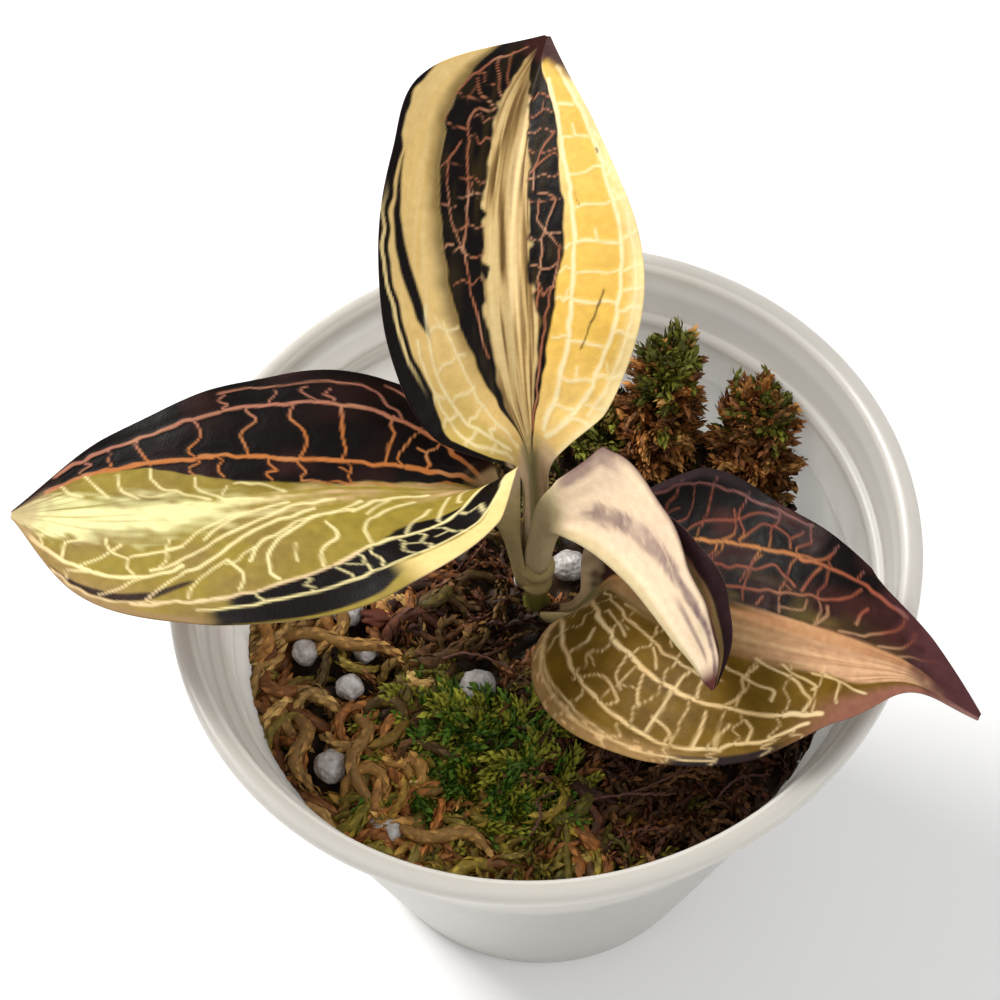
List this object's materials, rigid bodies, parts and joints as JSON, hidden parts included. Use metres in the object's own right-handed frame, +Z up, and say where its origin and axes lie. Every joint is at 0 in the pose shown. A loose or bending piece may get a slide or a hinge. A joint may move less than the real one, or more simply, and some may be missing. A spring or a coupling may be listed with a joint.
{
  "type": "potted jewel orchid",
  "caption": "Jewel orchid with variegated, net-veined leaves on a short stem, rooted in moss in a clear plastic pot.",
  "frame": {"origin": "centre of the pot's flat underside", "axes": "+Z up along the pot's axis, +X to the right and -Y towards the viewer in the picture"},
  "size_m": [0.1102, 0.0989, 0.1063],
  "materials": {
    "pot": "milky, satin",
    "moss_bed": "fibrous, matt",
    "moss_green": "fibrous, matt",
    "stem": "smooth, satin",
    "leaf_top": "smooth, satin",
    "leaf_left": "smooth, satin",
    "leaf_right": "smooth, satin",
    "leaf_young": "smooth, satin",
    "perlite": "rough, matt"
  },
  "bodies": {
    "root": {"pot": "pot", "moss_bed": "moss_bed", "moss_green": "moss_green", "stem": "stem", "leaf_top": "leaf_top", "leaf_left": "leaf_left", "leaf_right": "leaf_right", "leaf_young": "leaf_young", "bead_1": "perlite", "bead_2": "perlite", "bead_3": "perlite", "bead_4": "perlite", "bead_5": "perlite", "bead_6": "perlite", "bead_7": "perlite", "bead_8": "perlite"}
  },
  "joints": []
}
